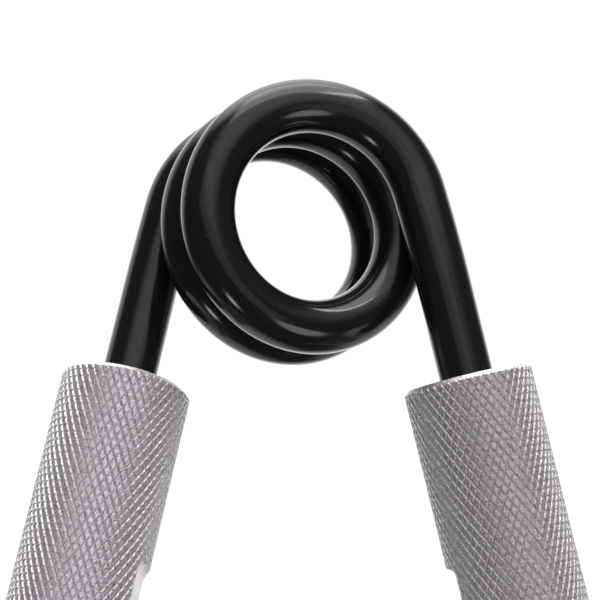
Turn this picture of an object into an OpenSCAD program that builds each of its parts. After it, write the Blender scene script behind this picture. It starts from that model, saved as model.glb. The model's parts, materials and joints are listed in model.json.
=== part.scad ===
// Hand grip strengthener: one torsion spring wound from round wire, and a knurled
// aluminium handle pressed onto each of its two legs.
//
// It lies on a table as it does when it is put down. The origin is the centre of the
// coil, +Z is up from the table, +Y runs from the ends of the handles towards the coil,
// and the right handle is on the +X side.

/* [Spring] */
// Diameter of the spring wire
wire_d = 8; // [6:0.1:10]
// Diameter of the coil, to the middle of the wire
coil_d = 32.4; // [28:0.1:40]
// Gap between one turn and the next
turn_gap = 0.55; // [0.2:0.05:1.2]
// Half turns of wire in the coil when the legs are parallel
half_turns = 5; // [3, 5, 7]
// Angle between the two legs at rest
spread_angle = 29; // [18:0.1:36]
// Angle at which each leg leans towards the other one's side of the coil
leg_lean = 1.7; // [0:0.1:3]
// Length over which the wire leaves the slope of the coil and becomes a straight leg
run_out = 14; // [8:0.5:24]
// Length of leg between the coil and the handle
leg_exposed = 28.5; // [26:0.1:45]
// Depth to which a leg goes into its handle
leg_in_handle = 72; // [40:1:85]
// Chamfer at the end of a leg
leg_chamfer = 0.6; // [0.2:0.1:1.2]

/* [Handles] */
// Diameter of a handle, over the crests of its knurl
handle_d = 19.2; // [16:0.1:24]
// Length of a handle
handle_length = 108; // [90:1:130]
// Chamfer at both ends of a handle
handle_chamfer = 0.7; // [0.3:0.1:1.5]
// Clearance all round between a leg and its bore, filled by the adhesive
bore_clearance = 0.03; // [0.02:0.01:0.08]
// Depth of the bore past the end of the leg
bore_relief = 2; // [1:0.5:5]
// Chamfer at the mouth of the bore
bore_mouth = 0.5; // [0.2:0.1:1]
// Angle of the drill point at the bottom of the bore
drill_angle = 118; // [90:1:140]

/* [Label flats] */
// Distance from the top of a handle to the full depth of its flat
flat_start = 27.9; // [26:0.1:36]
// Length of the flat at its full depth
flat_length = 46; // [20:1:55]
// Depth of the flat below the crests of the knurl
flat_depth = 1.15; // [0.6:0.05:1.8]
// Radius in the corner of the step at each end of the flat
flat_corner_r = 1.5; // [0.5:0.1:4]
// Angle by which the left handle's flat is turned from facing the other handle
left_flat_turn = 24.5; // [0:0.5:60]
// Angle by which the right handle's flat is turned the same way round its own leg
right_flat_turn = 25.5; // [0:0.5:60]

/* [Hidden] */
$fn = 96;

wire_sides = 24;
coil_steps = 96;
run_out_steps = 5;
settle_steps = 12;

// Where the seam of a handle's turned surface lies, from the side opposite its flat
seam_turn = 37.5;

wire_r = wire_d / 2;
coil_r = coil_d / 2;
handle_r = handle_d / 2;
bore_r = wire_r + bore_clearance;
bore_depth = leg_in_handle + bore_relief;
drill_point = bore_r / tan(drill_angle / 2);
leg_length = leg_exposed + leg_in_handle;

// The coil is a helix about Z. Its angle runs from the right leg to the left one.
leg_angle = spread_angle / 2;
first_angle = leg_angle;
last_angle = 180 * half_turns - leg_angle;
middle_angle = (first_angle + last_angle) / 2;
rise_per_degree = (wire_d + turn_gap) / 360;
helix_slope = rise_per_degree * 180 / (PI * coil_r);

// Along run_out the slope of the wire turns evenly from the coil's to the leg's.
lean_slope = tan(leg_lean);
leg_offset = rise_per_degree * (last_angle - first_angle) / 2
    + (helix_slope + lean_slope) * run_out / 2;

function coil_angle(i) = first_angle + (last_angle - first_angle) * i / coil_steps;

// Half a turn about Y carries the right side of the spring onto the left: side is 1 or -1.
function on_side(side, p) = [side * p.x, p.y, side * p.z];
function outward(side) = [side * cos(leg_angle), sin(leg_angle), 0];
function coil_centre(angle) =
    [coil_r * cos(angle), coil_r * sin(angle), rise_per_degree * (middle_angle - angle)];
function run_out_slope(s) = helix_slope - (helix_slope + lean_slope) * s / run_out;
function run_out_centre(side, s) = on_side(side, coil_centre(first_angle)
    + [s * sin(leg_angle), -s * cos(leg_angle), s * (helix_slope + run_out_slope(s)) / 2]);
function leg_start() = [coil_r * cos(leg_angle), coil_r * sin(leg_angle), leg_offset];
function leg_axis() = unit([sin(leg_angle), -cos(leg_angle), -lean_slope]);
function leg_point(side, s) = on_side(side, leg_start() + s * leg_axis());

function unit(v) = v / norm(v);

// One ring of points round the wire, with its first point on the outward side.
function ring(centre, out, along, r = wire_r) = let (across = cross(unit(along), out))
    [for (j = [0 : wire_sides - 1]) let (t = 360 * j / wire_sides)
        centre + r * (cos(t) * out + sin(t) * across)];
function along_leg(side, slope) = [-sin(leg_angle), side * cos(leg_angle), -slope];
function leg_ring(side, s, r = wire_r) =
    ring(leg_point(side, s), outward(side), along_leg(side, -lean_slope), r);
function run_out_ring(side, s) =
    ring(run_out_centre(side, s), outward(side), along_leg(side, run_out_slope(s)));
function coil_ring(angle) = ring(coil_centre(angle), [cos(angle), sin(angle), 0],
    [-sin(angle), cos(angle), -helix_slope]);

// Where each part of the gripper touches a table whose upward direction is up.
function lowest(points, up) = let (heights = [for (p = points) p * up])
    points[search(min(heights), heights)[0]];
function rim_foot(centre, axis, up) = centre - handle_r * unit(up - (up * axis) * axis);
function handle_foot(side, up) = lowest([
    for (s = [leg_exposed + handle_chamfer, leg_exposed + handle_length - handle_chamfer])
        rim_foot(leg_point(side, s), on_side(side, leg_axis()), up)], up);
function coil_foot(up) =
    lowest([for (i = [0 : coil_steps]) coil_centre(coil_angle(i))], up) - wire_r * up;

// The table carries the coil and both handles, so its plane goes through their three feet.
function table_plane(up) = let (coil = coil_foot(up))
    unit(cross(handle_foot(1, up) - coil, coil - handle_foot(-1, up)));
function settled(up, steps) = steps == 0 ? up : settled(table_plane(up), steps - 1);
up = settled([0, 0, 1], settle_steps);
long_way = unit([0, 1, 0] - up.y * up);
cross_way = cross(long_way, up);

// Turns what is drawn about the coil's axis so that it lies on the table.
module lying() {
    multmatrix([cross_way, long_way, up]) children();
}

// Places what is drawn along +Z on a leg, with +X pointing out from between the legs.
module on_leg(side) {
    rotate([0, side > 0 ? 0 : 180, 0])
        translate(leg_start()) rotate([90 + leg_lean, 0, leg_angle]) children();
}

// The whole wire, swept from the end of the right leg round the coil to the left one's.
module wire() {
    rings = [
        leg_ring(1, leg_length, wire_r - leg_chamfer),
        leg_ring(1, leg_length - leg_chamfer),
        for (i = [run_out_steps : -1 : 1]) run_out_ring(1, run_out * i / run_out_steps),
        for (i = [0 : coil_steps]) coil_ring(coil_angle(i)),
        for (i = [1 : run_out_steps]) run_out_ring(-1, run_out * i / run_out_steps),
        leg_ring(-1, leg_length - leg_chamfer),
        leg_ring(-1, leg_length, wire_r - leg_chamfer)
    ];
    last = len(rings) - 1;
    polyhedron(
        points = [for (r = rings) each r],
        faces = [
            [for (j = [0 : wire_sides - 1]) j],
            [for (j = [wire_sides - 1 : -1 : 0]) last * wire_sides + j],
            for (i = [0 : last - 1]) for (j = [0 : wire_sides - 1])
                let (a = i * wire_sides + j, b = i * wire_sides + (j + 1) % wire_sides)
                [a, a + wire_sides, b + wire_sides, b]
        ]);
}

module torsion_spring() {
    color("#1c1c1e") lying() wire();
}

// A handle turned from bar, with a blind bore for the leg.
module turned_handle() {
    rotate_extrude() polygon([
        [bore_r + bore_mouth, 0],
        [handle_r - handle_chamfer, 0],
        [handle_r, handle_chamfer],
        [handle_r, handle_length - handle_chamfer],
        [handle_r - handle_chamfer, handle_length],
        [0, handle_length],
        [0, bore_depth + drill_point],
        [bore_r, bore_depth],
        [bore_r, bore_mouth]]);
}

// What the milling cutter takes away to leave the flat, facing -X.
module flat_cut() {
    translate([flat_depth - handle_r, 0, flat_start]) {
        translate([-handle_r, -handle_r, 0]) cube([handle_r, handle_d, flat_length]);
        translate([-handle_r - flat_corner_r, -handle_r, -flat_corner_r])
            cube([handle_r, handle_d, flat_length + 2 * flat_corner_r]);
        for (z = [0, flat_length])
            translate([-flat_corner_r, 0, z]) rotate([90, 0, 0])
                cylinder(r = flat_corner_r, h = handle_d, center = true);
    }
}

module handle(flat_turn) {
    translate([0, 0, leg_exposed]) rotate([0, 0, flat_turn]) difference() {
        rotate([0, 0, seam_turn]) turned_handle();
        flat_cut();
    }
}

module left_handle() {
    color("#b9b9bb") lying() on_leg(-1) handle(left_flat_turn);
}

module right_handle() {
    color("#b9b9bb") lying() on_leg(1) handle(right_flat_turn);
}

torsion_spring();
left_handle();
right_handle();
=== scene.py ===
"""Looks of the hand grip strengthener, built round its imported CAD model."""
import json
import math

import bmesh
import bpy
import numpy as np
from mathutils import Matrix, Vector


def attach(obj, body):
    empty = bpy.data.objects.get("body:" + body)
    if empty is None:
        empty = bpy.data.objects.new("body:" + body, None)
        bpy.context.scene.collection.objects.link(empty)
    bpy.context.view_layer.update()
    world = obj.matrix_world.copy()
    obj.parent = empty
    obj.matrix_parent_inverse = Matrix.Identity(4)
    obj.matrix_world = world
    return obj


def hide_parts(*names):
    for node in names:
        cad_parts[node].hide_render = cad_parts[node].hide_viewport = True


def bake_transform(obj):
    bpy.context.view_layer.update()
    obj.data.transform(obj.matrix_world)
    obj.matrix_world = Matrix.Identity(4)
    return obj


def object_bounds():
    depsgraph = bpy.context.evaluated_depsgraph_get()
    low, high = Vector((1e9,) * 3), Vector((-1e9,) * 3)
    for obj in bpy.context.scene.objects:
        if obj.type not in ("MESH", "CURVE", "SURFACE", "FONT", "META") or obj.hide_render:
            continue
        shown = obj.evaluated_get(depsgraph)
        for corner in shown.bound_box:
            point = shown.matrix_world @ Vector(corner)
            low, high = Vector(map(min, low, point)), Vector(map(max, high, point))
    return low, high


MM = 0.001

# The spring, as in the CAD model.
WIRE_R = 4.0 * MM
COIL_R = 16.2 * MM
TURN_GAP = 0.55 * MM
SPREAD = math.radians(29)
LEAN = math.radians(1.7)
HALF_TURNS = 5
RUN_OUT = 14.0 * MM
LEG_EXPOSED = 28.5 * MM
LEG_IN_HANDLE = 72.0 * MM
LEG_CHAMFER = 0.6 * MM

# The handles, as in the CAD model.
HANDLE_R = 9.6 * MM
HANDLE_LENGTH = 108.0 * MM
HANDLE_CHAMFER = 0.7 * MM
BORE_R = 4.03 * MM
BORE_MOUTH = 0.5 * MM
BORE_RELIEF = 2.0 * MM
DRILL_ANGLE = math.radians(118)
FLAT_START = 27.9 * MM
FLAT_LENGTH = 46.0 * MM
FLAT_DEPTH = 1.15 * MM
FLAT_CORNER_R = 1.5 * MM
FLAT_TURN = {"left": math.radians(24.5), "right": math.radians(25.5)}

# The knurl: two crossed families of grooves, each running at KNURL_ANGLE to the handle.
# The first family is the weaker one: its floor rises by KNURL_LIFT halfway between its
# crossings with the second. KNURL_TOP is the share of the pitch that is left standing
# between two grooves of the first family, and of the second.
KNURL_STARTS = 48
KNURL_ANGLE = math.radians(30.2)
KNURL_DEPTH = 0.27 * MM
KNURL_LIFT = 0.11 * MM
KNURL_TOP = (0.66, 0.57)
KNURL_CROWN = 0.02 * MM
KNURL_INSET = 0.01 * MM
KNURL_CREST_R = HANDLE_R - KNURL_INSET

# The camera, as angles about the coil: the coil's own axis is the way a level camera
# at no turn would look.
CAMERA_TURN = math.radians(-22.5)
CAMERA_TILT = math.radians(-12.69)
CAMERA_ROLL = math.radians(-0.76)
CAMERA_DISTANCE = 457 * MM
CAMERA_AIM = (0.8 * MM, -11.0 * MM)
CAMERA_LENS = 184.2
CAMERA_SENSOR = 36.0

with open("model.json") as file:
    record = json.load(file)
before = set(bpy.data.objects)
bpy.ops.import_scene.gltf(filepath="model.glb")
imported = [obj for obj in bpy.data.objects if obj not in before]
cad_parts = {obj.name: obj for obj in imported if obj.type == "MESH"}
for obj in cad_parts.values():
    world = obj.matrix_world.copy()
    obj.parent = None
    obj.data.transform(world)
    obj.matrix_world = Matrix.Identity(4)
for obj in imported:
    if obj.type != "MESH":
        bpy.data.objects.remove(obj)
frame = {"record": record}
CAD_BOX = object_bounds()
MOUNTS = {mount["name"]: mount for mount in frame["record"]["mounts"]}


def coil_frame():
    """Axes of the coil: Z along its axis, Y from the handles' ends towards the coil."""
    z = Vector(MOUNTS["coil_eye"]["axis"]).normalized()
    y = -(Vector(MOUNTS["left_grip"]["axis"]) + Vector(MOUNTS["right_grip"]["axis"]))
    y = (y - y.project(z)).normalized()
    axes = Matrix((y.cross(z), y, z)).transposed().to_4x4()
    axes.translation = Vector(MOUNTS["coil_eye"]["pos_m"])
    return axes


COIL = coil_frame()


def handle_frame(side):
    """Axes of a handle: Z down its length from its top, X out from between the legs."""
    mount = MOUNTS[side + "_grip"]
    z = Vector(mount["axis"]).normalized()
    sign = 1 if side == "right" else -1
    out = COIL.to_3x3() @ Vector((sign * math.cos(SPREAD / 2), math.sin(SPREAD / 2), 0))
    y = z.cross(out).normalized()
    axes = Matrix((y.cross(z), y, z)).transposed().to_4x4()
    axes.translation = Vector(mount["pos_m"]) - z * HANDLE_LENGTH / 2
    return axes


def mesh_piece(name, points, faces):
    mesh = bpy.data.meshes.new(name)
    mesh.from_pydata([tuple(p) for p in points], [], faces)
    mesh.update()
    piece = bpy.data.objects.new(name, mesh)
    bpy.context.scene.collection.objects.link(piece)
    return piece


# ---------------------------------------------------------------- the spring

WIRE_SIDES = 64
COIL_STEP = math.radians(2)
RUN_OUT_STEPS = 14
LEG_RINGS = 24
# Length at the end of a leg with no rings but those of its chamfer
LEG_END = 4.0 * MM


def wire_path():
    """Centre line of the wire as (point, outward, along, radius), right leg to left leg."""
    leg = SPREAD / 2
    slope = (2 * WIRE_R + TURN_GAP) / (2 * math.pi * COIL_R)
    lean = math.tan(LEAN)
    first = leg
    last = math.pi * HALF_TURNS - leg
    middle = (first + last) / 2
    steps = round((last - first) / COIL_STEP)

    def coil(angle):
        place = Vector((math.cos(angle), math.sin(angle), 0)) * COIL_R
        place.z = slope * COIL_R * (middle - angle)
        return place

    def leg_ring(sign, s, inset=0.0):
        bend = min(s, RUN_OUT)
        rise = slope * bend - (slope + lean) * bend * bend / (2 * RUN_OUT)
        rise -= lean * (s - bend)
        grade = slope - (slope + lean) * bend / RUN_OUT
        point = coil(first) + Vector((math.sin(leg) * s, -math.cos(leg) * s, rise))
        point = Vector((sign * point.x, point.y, sign * point.z))
        out = Vector((sign * math.cos(leg), math.sin(leg), 0))
        along = Vector((-math.sin(leg), sign * math.cos(leg), -grade)).normalized()
        return point, out, along, WIRE_R - inset

    # Each station is a distance down the leg and how far its ring is set in: the chamfer
    # bulges a little, then come the straight leg and the run-out.
    full = LEG_EXPOSED + LEG_IN_HANDLE
    stations = [(full, LEG_CHAMFER), (full - LEG_CHAMFER * 0.5, LEG_CHAMFER * 0.3)]
    stations += [(full - LEG_CHAMFER, 0.0)]
    stations += [(s, 0.0) for s in np.linspace(full - LEG_END, RUN_OUT, LEG_RINGS)]
    stations += [(RUN_OUT * (1 - i / RUN_OUT_STEPS), 0.0) for i in range(1, RUN_OUT_STEPS)]
    path = [leg_ring(1, s, inset) for s, inset in stations]
    for i in range(steps + 1):
        angle = first + (last - first) * i / steps
        out = Vector((math.cos(angle), math.sin(angle), 0))
        along = Vector((-math.sin(angle), math.cos(angle), -slope)).normalized()
        path.append((coil(angle), out, along, WIRE_R))
    path += [leg_ring(-1, s, inset) for s, inset in reversed(stations)]
    return path


def build_spring():
    points = []
    path = wire_path()
    for centre, out, along, radius in path:
        across = along.cross(out)
        for j in range(WIRE_SIDES):
            t = 2 * math.pi * j / WIRE_SIDES
            spoke = (out * math.cos(t) + across * math.sin(t)) * radius
            points.append(COIL @ (centre + spoke))
    last = (len(path) - 1) * WIRE_SIDES
    faces = [list(reversed(range(WIRE_SIDES))), list(range(last, last + WIRE_SIDES))]
    for ring in range(0, last, WIRE_SIDES):
        for j in range(WIRE_SIDES):
            a, b = ring + j, ring + (j + 1) % WIRE_SIDES
            faces.append([a, b, b + WIRE_SIDES, a + WIRE_SIDES])
    spring = mesh_piece("spring_wire", points, faces)
    spring.data.shade_smooth()
    return spring


# --------------------------------------------------------------- the handles

TURNED_STEPS = 192
CORNER_STEPS = 12
# The turned shape clears the crests of the knurl by this much, and leaves them as they are.
CREST_ROOM = 0.2 * MM
CUTTER_HALF_WIDTH = 1.2 * HANDLE_R
# Rows of diamonds that the knurled bar has to spare, and how many come before the handle
SPARE_ROWS = 4
ROWS_BEFORE = 2
# Edges where the surface turns by less than this are soft.
SHARP_ANGLE = math.radians(20)


def knurled_bar():
    """A closed bar with truncated diamonds all round, longer than the handle."""
    root_r = KNURL_CREST_R - KNURL_DEPTH
    pitch = 2 * math.pi * HANDLE_R / KNURL_STARTS
    row = pitch / math.tan(KNURL_ANGLE) / 2
    rows = math.ceil(HANDLE_LENGTH / row) + SPARE_ROWS
    start = -ROWS_BEFORE * row
    points, faces, shared = [], [], {}

    def place(u, k, radius):
        """A new point, u pitches round the bar and k rows down it."""
        angle = 2 * math.pi * u / KNURL_STARTS
        points.append((radius * math.cos(angle), radius * math.sin(angle), start + k * row))
        return len(points) - 1

    def groove(u, k, radius=root_r):
        """A point on the floor of a groove, which the diamonds round it share."""
        key = (round(4 * u) % (4 * KNURL_STARTS), round(2 * k))
        if key not in shared:
            shared[key] = place(u, k, radius)
        return shared[key]

    # Row k of the grooves' crossings is shifted by half a pitch when k is odd. Each diamond
    # has four corners on the floor, four shoulders and a peak.
    lifted_r = root_r + KNURL_LIFT
    shoulder_r = KNURL_CREST_R - KNURL_CROWN
    wide = (KNURL_TOP[0] + KNURL_TOP[1]) / 2
    skew = (KNURL_TOP[0] - KNURL_TOP[1]) / 2
    for k in range(1, rows):
        for i in range(KNURL_STARTS):
            u = i + (k - 1) % 2 / 2
            top, right = groove(u, k - 1), groove(u + 0.5, k)
            bottom, left = groove(u, k + 1), groove(u - 0.5, k)
            upper = groove(u + 0.25, k - 0.5, lifted_r)
            lower = groove(u - 0.25, k + 0.5, lifted_r)
            peak = place(u, k, KNURL_CREST_R)
            north = place(u + skew / 2, k - wide, shoulder_r)
            east = place(u + wide / 2, k - skew, shoulder_r)
            south = place(u - skew / 2, k + wide, shoulder_r)
            west = place(u - wide / 2, k + skew, shoulder_r)
            faces += [[right, bottom, south, east], [left, top, north, west]]
            faces += [[top, upper, north], [upper, east, north], [upper, right, east]]
            faces += [[bottom, lower, south], [lower, west, south], [lower, left, west]]
            faces += [[north, east, peak], [east, south, peak]]
            faces += [[south, west, peak], [west, north, peak]]
    # Both ends: the gaps between the last crossings, then a flat cap.
    for k, inner in ((0, 1), (rows, rows - 1)):
        shift = k % 2 / 2
        for i in range(KNURL_STARTS):
            u = i + shift
            quarter = 0.25 if k == 0 else 0.75
            lifted = groove(u + quarter, (k + inner) / 2, lifted_r)
            a, b, c = groove(u, k), groove(u + 1, k), groove(u + 0.5, inner)
            faces.append([a, b, c, lifted] if k == 0 else [a, c, lifted, b])
        faces.append([groove(i + shift, k) for i in range(KNURL_STARTS)])
    return points, faces


def revolve(profile):
    """Closed surface of revolution about Z; the profile starts and ends on the axis."""
    points, rings, faces = [], [], []
    for radius, z in profile:
        first = len(points)
        if radius == 0:
            points.append((0, 0, z))
            rings.append([first] * TURNED_STEPS)
            continue
        for i in range(TURNED_STEPS):
            t = 2 * math.pi * i / TURNED_STEPS
            points.append((radius * math.cos(t), radius * math.sin(t), z))
        rings.append(list(range(first, len(points))))
    for lower, upper in zip(rings, rings[1:]):
        for i in range(TURNED_STEPS):
            j = (i + 1) % TURNED_STEPS
            # On the axis two of the corners are one point, and the face is a triangle.
            faces.append(list(dict.fromkeys([lower[i], lower[j], upper[j], upper[i]])))
    return points, faces


def handle_envelope():
    """The turned shape that the knurled bar is cut to: faces, chamfers and bore."""
    depth = LEG_IN_HANDLE + BORE_RELIEF
    outer = HANDLE_R + CREST_ROOM
    chamfer = HANDLE_CHAMFER + CREST_ROOM
    return revolve([
        (0, depth + BORE_R / math.tan(DRILL_ANGLE / 2)),
        (BORE_R, depth),
        (BORE_R, BORE_MOUTH),
        (BORE_R + BORE_MOUTH, 0),
        (outer - chamfer, 0),
        (outer, chamfer),
        (outer, HANDLE_LENGTH - chamfer),
        (outer - chamfer, HANDLE_LENGTH),
        (0, HANDLE_LENGTH),
    ])


def flat_cutter(side):
    """The body that the milling cutter removes, with a rounded corner at each end."""
    floor = FLAT_DEPTH - HANDLE_R
    corner = []
    for i in range(CORNER_STEPS + 1):
        t = math.pi / 2 * i / CORNER_STEPS
        corner.append((floor - FLAT_CORNER_R * (1 - math.cos(t)), FLAT_CORNER_R * math.sin(t)))
    outer = floor - 2 * HANDLE_R
    end = FLAT_START + FLAT_LENGTH
    outline = [(outer, FLAT_START - FLAT_CORNER_R)]
    outline += [(x, FLAT_START - z) for x, z in reversed(corner)]
    outline += [(x, end + z) for x, z in corner]
    outline += [(outer, end + FLAT_CORNER_R)]
    turn = Matrix.Rotation(FLAT_TURN[side], 3, "Z")
    points = [turn @ Vector((x, y, z))
              for y in (-CUTTER_HALF_WIDTH, CUTTER_HALF_WIDTH) for x, z in outline]
    count = len(outline)
    faces = [list(range(count)), list(reversed(range(count, 2 * count)))]
    for i in range(count):
        j = (i + 1) % count
        faces.append([j, i, count + i, count + j])
    return points, faces


def fix_normals(piece):
    bm = bmesh.new()
    bm.from_mesh(piece.data)
    bmesh.ops.recalc_face_normals(bm, faces=bm.faces)
    bm.to_mesh(piece.data)
    bm.free()


def cut(piece, tool, operation):
    """Applies a boolean with another piece, and removes that piece."""
    fix_normals(tool)
    modifier = piece.modifiers.new("cut", "BOOLEAN")
    modifier.operation = operation
    modifier.object = tool
    modifier.solver = "MANIFOLD"
    with bpy.context.temp_override(object=piece, active_object=piece):
        bpy.ops.object.modifier_apply(modifier=modifier.name)
    bpy.data.objects.remove(tool)


def build_handle(side):
    handle = mesh_piece(side + "_knurled_handle", *knurled_bar())
    fix_normals(handle)
    cut(handle, mesh_piece("envelope", *handle_envelope()), "INTERSECT")
    cut(handle, mesh_piece("cutter", *flat_cutter(side)), "DIFFERENCE")
    # The booleans leave a material slot with nothing in it.
    handle.data.materials.clear()
    handle.data.shade_smooth()
    handle.data.set_sharp_from_angle(angle=SHARP_ANGLE)
    handle.data.transform(handle_frame(side))
    return handle


# ------------------------------------------------------------- the materials


def new_material(name):
    material = bpy.data.materials.new(name)
    material.use_nodes = True
    nodes = material.node_tree.nodes
    return material, nodes, material.node_tree.links, nodes["Principled BSDF"]


def noise(nodes, links, scale, detail, roughness=0.5):
    coordinates = nodes.new("ShaderNodeTexCoord")
    texture = nodes.new("ShaderNodeTexNoise")
    texture.inputs["Scale"].default_value = scale
    texture.inputs["Detail"].default_value = detail
    texture.inputs["Roughness"].default_value = roughness
    links.new(coordinates.outputs["Object"], texture.inputs["Vector"])
    return texture


def ramp(nodes, links, value, stops):
    band = nodes.new("ShaderNodeValToRGB")
    while len(band.color_ramp.elements) < len(stops):
        band.color_ramp.elements.new(0.5)
    for element, (at, level) in zip(band.color_ramp.elements, stops):
        colour = level if isinstance(level, tuple) else (level, level, level)
        element.position = at
        element.color = (*colour, 1)
    links.new(value, band.inputs["Fac"])
    return band


def add_bump(nodes, links, shader, height, strength, distance):
    bump = nodes.new("ShaderNodeBump")
    bump.inputs["Strength"].default_value = strength
    bump.inputs["Distance"].default_value = distance
    links.new(height.outputs["Fac"], bump.inputs["Height"])
    links.new(bump.outputs["Normal"], shader.inputs["Normal"])


def spring_material():
    """Black gloss coating: a little orange peel, and a few pale specks of dust."""
    material, nodes, links, shader = new_material("spring_coating")
    shader.inputs["Metallic"].default_value = 0.0
    shader.inputs["IOR"].default_value = 1.5
    specks = noise(nodes, links, 2600, 2)
    colour = ramp(nodes, links, specks.outputs["Fac"],
                  [(0.0, (0.0098, 0.0090, 0.0102)), (0.72, (0.0115, 0.0107, 0.0120)),
                   (0.80, (0.10, 0.095, 0.10))])
    links.new(colour.outputs["Color"], shader.inputs["Base Color"])
    wear = noise(nodes, links, 90, 4)
    rough = ramp(nodes, links, wear.outputs["Fac"], [(0.3, 0.12), (0.7, 0.17)])
    links.new(rough.outputs["Color"], shader.inputs["Roughness"])
    add_bump(nodes, links, shader, noise(nodes, links, 420, 3), 0.08, 0.1 * MM)
    return material


def handle_material():
    """Satin aluminium, with the fine tears and stains that rolling a knurl leaves."""
    material, nodes, links, shader = new_material("handle_aluminium")
    shader.inputs["Metallic"].default_value = 0.85
    stain = noise(nodes, links, 3000, 4, 0.75)
    colour = ramp(nodes, links, stain.outputs["Fac"],
                  [(0.34, (0.42, 0.40, 0.42)), (0.50, (0.69, 0.66, 0.69)),
                   (0.66, (0.90, 0.87, 0.90))])
    links.new(colour.outputs["Color"], shader.inputs["Base Color"])
    rough = ramp(nodes, links, noise(nodes, links, 1500, 3).outputs["Fac"],
                 [(0.3, 0.36), (0.7, 0.50)])
    links.new(rough.outputs["Color"], shader.inputs["Roughness"])
    add_bump(nodes, links, shader, noise(nodes, links, 4200, 3), 0.8, 0.12 * MM)
    return material


def glowing(name, colour, strength):
    material, nodes, links, shader = new_material(name)
    nodes.remove(shader)
    light = nodes.new("ShaderNodeEmission")
    light.inputs["Color"].default_value = (*colour, 1)
    light.inputs["Strength"].default_value = strength
    links.new(light.outputs["Emission"], nodes["Material Output"].inputs["Surface"])
    return material


# -------------------------------------------------------------------- studio

FLOOR_HALF = 6.0
FLOOR_RADIANCE = 1.05
WALL_RADIANCE = 0.9
LIGHT_DISTANCE = 0.9

# Broad glows of the studio, in degrees: bearing and angle from the camera, then how far
# from its middle a glow is full and how far out it has faded, and last its radiance.
GLOWS = [
    (90, 178, 20, 62, 1.5),
    (155, 138, 10, 34, 1.0),
    (94, 116, 16, 38, 2.5),
    (-121, 117, 8, 36, 0.9),
    (-41, 119, 5, 24, 1.0),
    (74, 54, 6, 48, 1.0),
]
AMBIENT = 0.08


def camera_axes():
    """Right, up and forward of the camera, in the scene's axes."""
    turn, tilt, roll = CAMERA_TURN, CAMERA_TILT, CAMERA_ROLL
    forward = Vector((-math.sin(turn) * math.cos(tilt), -math.sin(tilt),
                      -math.cos(turn) * math.cos(tilt)))
    right = Vector((math.cos(turn), 0, -math.sin(turn)))
    up = right.cross(forward)
    rolled = right * math.cos(roll) + up * math.sin(roll)
    up = up * math.cos(roll) - right * math.sin(roll)
    turn_to_scene = COIL.to_3x3()
    return turn_to_scene @ rolled, turn_to_scene @ up, turn_to_scene @ forward


def add_camera():
    right, up, forward = camera_axes()
    aim = COIL.translation + right * CAMERA_AIM[0] + up * CAMERA_AIM[1]
    data = bpy.data.cameras.new("camera")
    data.lens = CAMERA_LENS
    data.sensor_width = CAMERA_SENSOR
    data.clip_start = 0.01
    data.clip_end = 20
    camera = bpy.data.objects.new("camera", data)
    axes = Matrix((right, up, -forward)).transposed().to_4x4()
    axes.translation = aim - forward * CAMERA_DISTANCE
    camera.matrix_world = axes
    bpy.context.scene.collection.objects.link(camera)
    bpy.context.scene.camera = camera


def add_floor(height):
    """A white table that glows to the camera; the studio's light reaches the object through it."""
    corners = [(-1, -1), (1, -1), (1, 1), (-1, 1)]
    points = [(FLOOR_HALF * x, FLOOR_HALF * y, height) for x, y in corners]
    floor = mesh_piece("floor", points, [[0, 1, 2, 3]])
    floor.data.materials.append(glowing("floor_white", (1, 1, 1), FLOOR_RADIANCE))
    floor.visible_diffuse = False
    floor.visible_glossy = False
    floor.visible_shadow = False


def studio_direction(bearing, away):
    """A direction from the object: away degrees from the camera, at that bearing in its view.

    With it comes the direction in which that angle grows."""
    right, up, forward = camera_axes()
    bearing, away = math.radians(bearing), math.radians(away)
    radial = right * math.cos(bearing) + up * math.sin(bearing)
    towards = -forward * math.cos(away) + radial * math.sin(away)
    along = forward * math.sin(away) + radial * math.cos(away)
    return towards, along


def add_softbox(name, bearing, away, size, radiance, shape="RECTANGLE"):
    """An area light facing the object; size is its width and length in degrees, as seen from
    the object, with the length running away from the camera."""
    towards, along = studio_direction(bearing, away)
    data = bpy.data.lights.new(name, "AREA")
    data.shape = shape
    width, length = (2 * LIGHT_DISTANCE * math.tan(math.radians(a / 2)) for a in size)
    data.size, data.size_y = width, length
    area = width * length * (1 if shape == "RECTANGLE" else math.pi / 4)
    data.energy = radiance * math.pi * area
    light = bpy.data.objects.new(name, data)
    axes = Matrix((along.cross(towards), along, towards)).transposed().to_4x4()
    axes.translation = COIL.translation + towards * LIGHT_DISTANCE
    light.matrix_world = axes
    bpy.context.scene.collection.objects.link(light)


def add_glow(nodes, links, direction, glow):
    """Radiance of one glow in a direction, from its full strength down to none."""
    bearing, away, full, faded, radiance = glow
    towards, _ = studio_direction(bearing, away)
    dot = nodes.new("ShaderNodeVectorMath")
    dot.operation = "DOT_PRODUCT"
    links.new(direction, dot.inputs[0])
    dot.inputs[1].default_value = towards
    fade = nodes.new("ShaderNodeMapRange")
    fade.interpolation_type = "SMOOTHSTEP"
    fade.inputs["From Min"].default_value = math.cos(math.radians(faded))
    fade.inputs["From Max"].default_value = math.cos(math.radians(full))
    fade.inputs["To Max"].default_value = radiance
    links.new(dot.outputs["Value"], fade.inputs["Value"])
    return fade.outputs["Result"]


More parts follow.
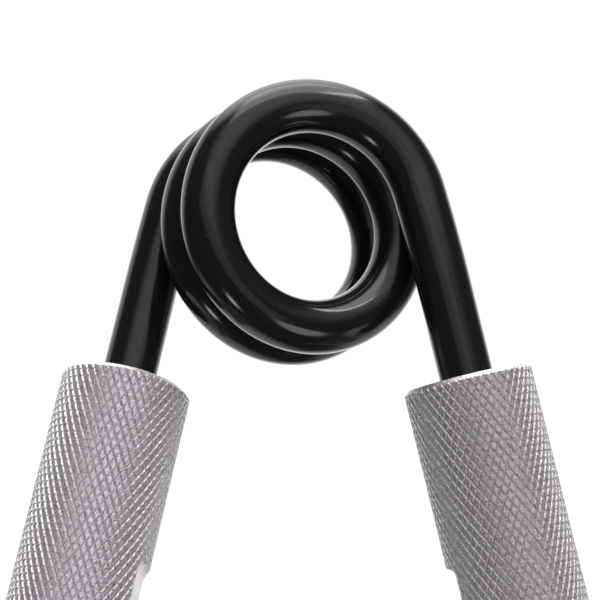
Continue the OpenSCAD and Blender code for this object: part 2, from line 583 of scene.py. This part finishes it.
def add_world():
    """The dark studio with its white backdrop and glows; the camera itself sees a pale wall."""
    world = bpy.data.worlds.new("studio")
    bpy.context.scene.world = world
    world.use_nodes = True
    nodes, links = world.node_tree.nodes, world.node_tree.links
    direction = nodes.new("ShaderNodeTexCoord").outputs["Generated"]
    glows = [add_glow(nodes, links, direction, glow) for glow in GLOWS]
    total = glows[0]
    for glow in glows[1:]:
        most = nodes.new("ShaderNodeMath")
        most.operation = "MAXIMUM"
        links.new(total, most.inputs[0])
        links.new(glow, most.inputs[1])
        total = most.outputs["Value"]
    lift = nodes.new("ShaderNodeMath")
    lift.operation = "ADD"
    lift.inputs[1].default_value = AMBIENT
    links.new(total, lift.inputs[0])
    background = nodes["Background"]
    background.inputs["Color"].default_value = (1, 1, 1, 1)
    links.new(lift.outputs["Value"], background.inputs["Strength"])
    wall = nodes.new("ShaderNodeBackground")
    wall.inputs["Color"].default_value = (1, 1, 1, 1)
    wall.inputs["Strength"].default_value = WALL_RADIANCE
    seen = nodes.new("ShaderNodeLightPath")
    pick = nodes.new("ShaderNodeMixShader")
    links.new(seen.outputs["Is Camera Ray"], pick.inputs["Fac"])
    links.new(background.outputs["Background"], pick.inputs[1])
    links.new(wall.outputs["Background"], pick.inputs[2])
    links.new(pick.outputs["Shader"], nodes["World Output"].inputs["Surface"])


# ------------------------------------------------------------------- the run

spring = build_spring()
spring.data.materials.append(spring_material())
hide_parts("torsion_spring")

aluminium = handle_material()
for side in ("left", "right"):
    handle = build_handle(side)
    handle.data.materials.append(aluminium)
    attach(handle, side + "_side")
    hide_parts(side + "_handle")

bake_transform(spring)

add_camera()
add_floor(CAD_BOX[0][2])
add_world()
add_softbox("overhead", 83, 88, (48, 44), 2.4)
add_softbox("strip", 58, 82, (2.2, 34), 16.0)
add_softbox("window", 60, 12, (80, 30), 0.38)
add_softbox("lamp", -117, 53, (11, 11), 6.5, shape="ELLIPSE")
add_softbox("reflector", -38, 51, (24, 24), 2.5, shape="ELLIPSE")
bpy.context.scene.view_settings.view_transform = "Standard"
